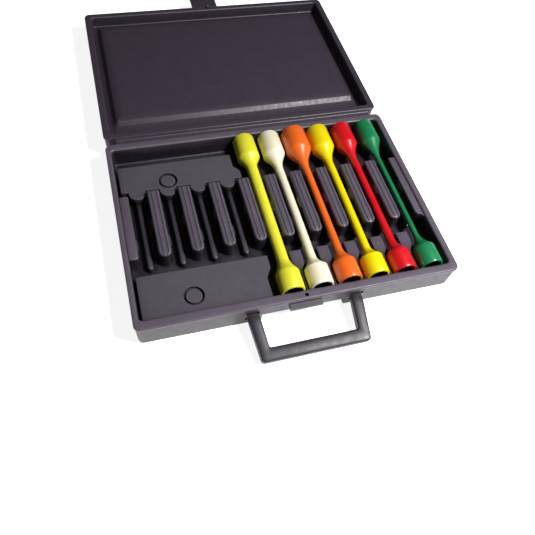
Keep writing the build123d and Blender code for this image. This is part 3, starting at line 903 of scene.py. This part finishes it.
@dataclass
class CarryHandle:
    """U-shaped handle with squared corners, lying on the table."""

    pivot_y: float = -118.0
    pivot_z: float = 16.0
    droop_deg: float = 12.5
    reach: float = 49.5
    grip_width: float = 14.0
    arm_out: tuple[float, float] = (61.5, 57.0)
    arm_in: tuple[float, float] = (48.4, 46.0)
    outer_corner: float = 4.5
    inner_corner: float = 2.0
    thick: float = 9.6
    eye_thick: float = 5.6
    taper: float = 6.0

    def stations(self) -> list[tuple[Point, Point, float]]:
        """Pairs of facing outline points, from the left eye to the right eye.

        Returns:
            For each station its outer point, its inner point and its thickness.
        """
        inner_y = self.grip_width - self.reach
        half = [((-self.arm_out[0], y, 0), (-self.arm_in[0], y, 0), thick)
                for y, thick in ((3.0, 1.6), (2.4, 3.2), (1.4, 4.9))]
        for share in (0.07, 0.11, 0.16, 0.22, 0.3, 0.5, 0.7, 0.86):
            out_x = self.arm_out[0] + (self.arm_out[1] - self.arm_out[0]) * share
            in_x = self.arm_in[0] + (self.arm_in[1] - self.arm_in[0]) * share
            out_y = 2.9 + share * (2.0 - self.reach)
            in_y = 2.9 + share * (inner_y - 1.2)
            grown = min(max(-max(out_y, in_y) / self.taper, 0.0), 1.0)
            thick = self.eye_thick + (self.thick - self.eye_thick) * grown
            half.append(((-out_x, out_y, 0), (-in_x, in_y, 0), thick))
        for i in range(9):
            turn = math.pi / 2 * i / 8
            big, small = self.outer_corner, self.inner_corner
            outer = (-self.arm_out[1] + big * (1 - math.cos(turn)),
                     -self.reach + big * (1 - math.sin(turn)), 0)
            inner = (-self.arm_in[1] + small * (1 - math.cos(turn)),
                     inner_y + small * (1 - math.sin(turn)), 0)
            half.append((outer, inner, self.thick))
        for x in (36.0, 18.0):
            half.append(((-x, -self.reach, 0), (-x, inner_y, 0), self.thick))
        middle = ((0.0, -self.reach, 0), (0.0, inner_y, 0), self.thick)
        other = [((-o[0], o[1], 0), (-i[0], i[1], 0), t) for o, i, t in reversed(half)]
        return half + [middle] + other

    def section(self, width: float, thick: float) -> list[tuple[float, float]]:
        """Closed section: rounded box with a low rib along its top and bottom."""
        half_w, half_t, edge = width / 2, thick / 2, min(2.6, thick * 0.42)
        corner = [(half_w - edge + edge * math.cos(a), half_t - edge + edge * math.sin(a))
                  for a in np.linspace(0, math.pi / 2, 5)]
        crown = [(half_w * 0.45, half_t + 0.25), (half_w * 0.2, half_t + 0.4)]
        top_right = corner + crown
        top_left = [(-u, v) for u, v in reversed(top_right)]
        top = top_right + top_left
        return top + [(-u, -v) for u, v in top]

    def build(self, finish: bpy.types.Material) -> None:
        """Run the section through the stations and lay the handle down."""
        loops = []
        for outer, inner, thick in self.stations():
            middle = (Vector(outer) + Vector(inner)) / 2
            side = (Vector(outer) - Vector(inner)) / 2
            width = 2 * side.length
            side.normalize()
            loops.append([(middle.x + side.x * u, middle.y + side.y * u, v)
                          for u, v in self.section(width, thick)])
        piece = make_object("carry_handle_grip", *loft(loops), sharp_deg=45)
        lay = Matrix.Translation((0, self.pivot_y * MM, self.pivot_z * MM))
        lay = lay @ Matrix.Rotation(math.radians(self.droop_deg), 4, "X")
        piece.data.transform(lay)
        dress(piece, finish, Body.HANDLE, ["carry_handle"])


# ---------------------------------------------------------------- sticks


@dataclass(frozen=True)
class StickColour:
    """One stick: its node, its place in the rack, its sizes and its coat."""

    node: str
    place: int
    rear_head: float
    front_head: float
    shaft: float
    front_neck: float
    rear_neck: float
    flats: float
    coat: PowderCoat


@dataclass
class TorqueStick:
    """Turned steel stick with a square drive behind and a hexagon socket in front."""

    sizes: StickColour
    front_y: float = -107.3
    back_y: float = 106.3
    front_head_end: float = -84.4
    rear_head_end: float = 76.0
    bevel: float = 1.2
    drive: float = 12.9
    drive_depth: float = 17.0
    hex_depth: float = 22.0
    around: int = 96

    def ring(self, y: float, radius: float) -> list[Point]:
        """Round loop about the stick's axis."""
        turns = np.linspace(0, 2 * math.pi, self.around, endpoint=False)
        return [(radius * math.cos(a), y, radius * math.sin(a)) for a in turns]

    def mouth(self, y: float, flats: float, shape: Mouth, limit: float) -> list[Point]:
        """Loop of a square or hexagon mouth with slightly rounded corners.

        Args:
            y: Place along the stick.
            flats: Width across flats.
            shape: Square or hexagon.
            limit: Largest radius, which rounds the corners.

        Returns:
            Loop with the same number of points as a ring.
        """
        part = 2 * math.pi / shape.value
        points = []
        for turn in np.linspace(0, 2 * math.pi, self.around, endpoint=False):
            off = (turn % part) - part / 2
            radius = min(flats / 2 / math.cos(off), limit)
            points.append((radius * math.cos(turn), y, radius * math.sin(turn)))
        return points

    def flare(self, head_r: float, head_y: float, shaft_r: float,
              neck_y: float) -> list[tuple[float, float]]:
        """Cone that leaves the head at a shoulder and runs smoothly into the shaft.

        Args:
            head_r: Radius of the head.
            head_y: Y where the head ends.
            shaft_r: Radius of the shaft.
            neck_y: Y where the shaft begins.

        Returns:
            Points between the two, as (y, radius), from the head to the shaft.
        """
        length = neck_y - head_y
        reins = ((head_y, head_r), (head_y + 0.25 * length, head_r - 0.35 * (head_r - shaft_r)),
                 (neck_y - 0.45 * length, shaft_r), (neck_y, shaft_r))
        points = []
        for s in np.linspace(0, 1, 17)[1:-1]:
            weights = ((1 - s) ** 3, 3 * s * (1 - s) ** 2, 3 * s * s * (1 - s), s ** 3)
            points.append((sum(w * y for w, (y, _) in zip(weights, reins)),
                           sum(w * r for w, (_, r) in zip(weights, reins))))
        return points

    def build(self, axis_x: float, axis_z: float, bore: bpy.types.Material) -> None:
        """Build the stick on its axis and dress it."""
        size = self.sizes
        rear, front, shaft = size.rear_head / 2, size.front_head / 2, size.shaft / 2
        limit = size.flats / 2 / math.cos(math.pi / 6) - 0.25
        deep = self.front_y + self.hex_depth
        loops = [self.mouth(deep, size.flats, Mouth.HEXAGON, limit),
                 self.mouth(self.front_y + 1.4, size.flats, Mouth.HEXAGON, limit),
                 self.ring(self.front_y + 0.6, limit + 0.3),
                 self.ring(self.front_y, limit + 0.9)]
        inner_faces = 3 * self.around
        outline = [(self.front_y, front - self.bevel), (self.front_y + 0.35,
                                                        front - self.bevel * 0.35),
                   (self.front_y + self.bevel, front), (self.front_head_end - 3, front),
                   (self.front_head_end, front)]
        outline += self.flare(front, self.front_head_end, shaft, size.front_neck)
        outline += [(size.front_neck, shaft), (0, shaft), (size.rear_neck, shaft)]
        outline += reversed(self.flare(rear, self.rear_head_end, shaft, size.rear_neck))
        outline += [(self.rear_head_end, rear), (self.rear_head_end + 3, rear),
                    (self.back_y - self.bevel, rear), (self.back_y - 0.35,
                                                       rear - self.bevel * 0.35),
                    (self.back_y, rear - self.bevel)]
        loops += [self.ring(y, r) for y, r in outline]
        corner = self.drive / 2 * math.sqrt(2) - 0.5
        loops += [self.ring(self.back_y, corner + 0.5), self.ring(self.back_y - 0.6, corner)]
        outside_rows = len(loops) - 1
        loops += [self.mouth(self.back_y - 1.4, self.drive, Mouth.SQUARE, corner),
                  self.mouth(self.back_y - self.drive_depth, self.drive, Mouth.SQUARE, corner)]
        verts, faces = loft(loops)
        verts = [(x + axis_x, y, z + axis_z) for x, y, z in verts]
        mesh = bpy.data.meshes.new(size.node + "_coated")
        mesh.from_pydata([tuple(c * MM for c in v) for v in verts], [], faces)
        mesh.materials.append(size.coat.make())
        mesh.materials.append(bore)
        for i, face in enumerate(mesh.polygons):
            inside = i < inner_faces or i >= outside_rows * self.around
            face.material_index = 1 if inside else 0
        build = bmesh.new()
        build.from_mesh(mesh)
        bmesh.ops.recalc_face_normals(build, faces=build.faces)
        build.to_mesh(mesh)
        build.free()
        mesh.shade_smooth()
        mesh.set_sharp_from_angle(angle=math.radians(38))
        dress(link(size.node + "_coated", mesh), bore, size.node + "_body",
              [size.node])


STICKS = (
    StickColour("stick_lemon", 5, 26.0, 25.8, 12.8, -66.0, 60.0, 17.2,
                PowderCoat("lemon_powder_coat", "DDD93A", roughness=0.42, coat=0.15)),
    StickColour("stick_cream", 6, 26.0, 25.8, 9.6, -70.0, 53.0, 17.2,
                PowderCoat("cream_powder_coat", "E9E1C6", roughness=0.42, coat=0.15)),
    StickColour("stick_orange", 7, 30.0, 25.8, 8.8, -66.0, 48.0, 17.2,
                PowderCoat("orange_powder_coat", "E8692A")),
    StickColour("stick_yellow", 8, 27.2, 25.8, 9.2, -70.0, 51.0, 17.2,
                PowderCoat("yellow_powder_coat", "E8D300")),
    StickColour("stick_red", 9, 25.2, 25.8, 9.0, -67.0, 54.0, 17.2,
                PowderCoat("red_powder_coat", "CE1620")),
    StickColour("stick_green", 10, 24.4, 25.8, 5.8, -64.0, 48.0, 17.2,
                PowderCoat("green_powder_coat", "1A7B4B")),
)


# ---------------------------------------------------------------- studio


@dataclass
class Studio:
    """Table, soft light and the camera."""

    table_half: float = 2600.0
    lens: float = 37.0
    eye: Point = (-151.16, -352.96, 496.48)
    azimuth_deg: float = 23.756
    down_deg: float = 57.03
    roll_deg: float = 10.2
    light_at: Point = (560.0, -430.0, 960.0)
    light_size: tuple[float, float] = (170.0, 260.0)
    light_power: float = 21.0
    sky: float = 0.07

    def table(self) -> None:
        """Lay the pale table top under the case."""
        half = self.table_half
        outline = [(-half, -half), (half, -half), (half, half), (-half, half)]
        top = prism("table_top", outline, -6.0, -0.05)
        top.data.materials.append(TableTop("white_laminate", "F4F4F5").make())

    def lights(self) -> None:
        """Hang one softbox over the case and light the room evenly."""
        lamp = bpy.data.lights.new("overhead_softbox", "AREA")
        lamp.shape = "RECTANGLE"
        lamp.size, lamp.size_y = (side * MM for side in self.light_size)
        lamp.energy = self.light_power
        box = link("overhead_softbox", lamp)
        box.location = [c * MM for c in self.light_at]
        aim = Vector(box.location) - Vector((0, 20 * MM, 20 * MM))
        box.rotation_euler = aim.to_track_quat("Z", "Y").to_euler()
        world = bpy.data.worlds.new("studio")
        world.use_nodes = True
        world.node_tree.nodes.clear()
        seen = add_node(world.node_tree, "ShaderNodeLightPath").outputs["Is Camera Ray"]
        level = add_node(world.node_tree, "ShaderNodeMapRange", {
            "Value": seen, "To Min": self.sky, "To Max": 1.0}).outputs[0]
        glow = add_node(world.node_tree, "ShaderNodeBackground",
                        {"Color": (1, 1, 1, 1), "Strength": level})
        add_node(world.node_tree, "ShaderNodeOutputWorld", {"Surface": glow.outputs[0]})
        bpy.context.scene.world = world

    def camera(self) -> None:
        """Set the camera where the object is looked at from."""
        data = bpy.data.cameras.new("camera")
        data.lens = self.lens
        data.sensor_width = 36.0
        camera = link("camera", data)
        camera.location = [c * MM for c in self.eye]
        aim = Matrix.Rotation(-math.radians(self.azimuth_deg), 4, "Z")
        aim = aim @ Matrix.Rotation(math.radians(90 - self.down_deg), 4, "X")
        aim = aim @ Matrix.Rotation(math.radians(self.roll_deg), 4, "Z")
        camera.rotation_euler = aim.to_euler()
        bpy.context.scene.camera = camera

    def build(self) -> None:
        """Set up the table, the light and the camera."""
        bpy.context.scene.view_settings.view_transform = "Standard"
        self.table()
        self.lights()
        self.camera()


# ---------------------------------------------------------------- everything


def recoat(nodes: Sequence[str], finish: bpy.types.Material) -> None:
    """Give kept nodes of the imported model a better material."""
    for name in nodes:
        node = FRAME["nodes"][name]
        node.data.materials.clear()
        node.data.materials.append(finish)
        LOG.info("%s keeps its mesh, in %s", name, finish.name)


def stick_axis(node: str) -> tuple[float, float]:
    """Middle of a stick's node, across and up, in millimetres."""
    low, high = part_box(node)
    return (low.x + high.x) / 2 / MM, (low.z + high.z) / 2 / MM


def main() -> None:
    """Build every piece in order."""
    logging.basicConfig(level=logging.INFO, format="%(name)s %(message)s")
    Studio().build()
    case = BlowMouldedPlastic("blow_moulded_case_plastic", "352E38").make()
    # recess= sets painted shade, darkening the colour in the wells and recesses of the tray,
    # the lid lining and the fillers.
    tray = BlowMouldedPlastic("blow_moulded_tray_plastic", "554D59", recess=0.96).make()
    # The lid plastic is a darker copy of the tray plastic: painted shade for the lid lying
    # further back from the light.
    lid = BlowMouldedPlastic("blow_moulded_lid_plastic", "382F3B", recess=0.6).make()
    filler = BlowMouldedPlastic("moulded_filler_plastic", "4C474F", roughness=0.5,
                                recess=0.7).make()
    BaseTray().build(tray)
    LidLining().build(lid)
    HingeStrip().build(case)
    CarryHandle().build(BlowMouldedPlastic("moulded_handle_plastic", "2B252E").make())
    bore = Metal("black_oxide_steel", "1B1A1B", roughness=0.5).make()
    for sizes in STICKS:
        TorqueStick(sizes).build(*stick_axis(sizes.node), bore)
    recoat(["base_shell"], case)
    recoat(["lid_shell", "lid_locating_peg", "lid_latch"], lid)
    recoat(["front_filler_block", "rear_filler_block", "front_filler_plug",
            "rear_filler_plug"], filler)
    recoat(["handle_pivot_pins", "latch_pin"], Metal("bright_steel", "9A9894").make())


if __name__ == "__main__":
    main()
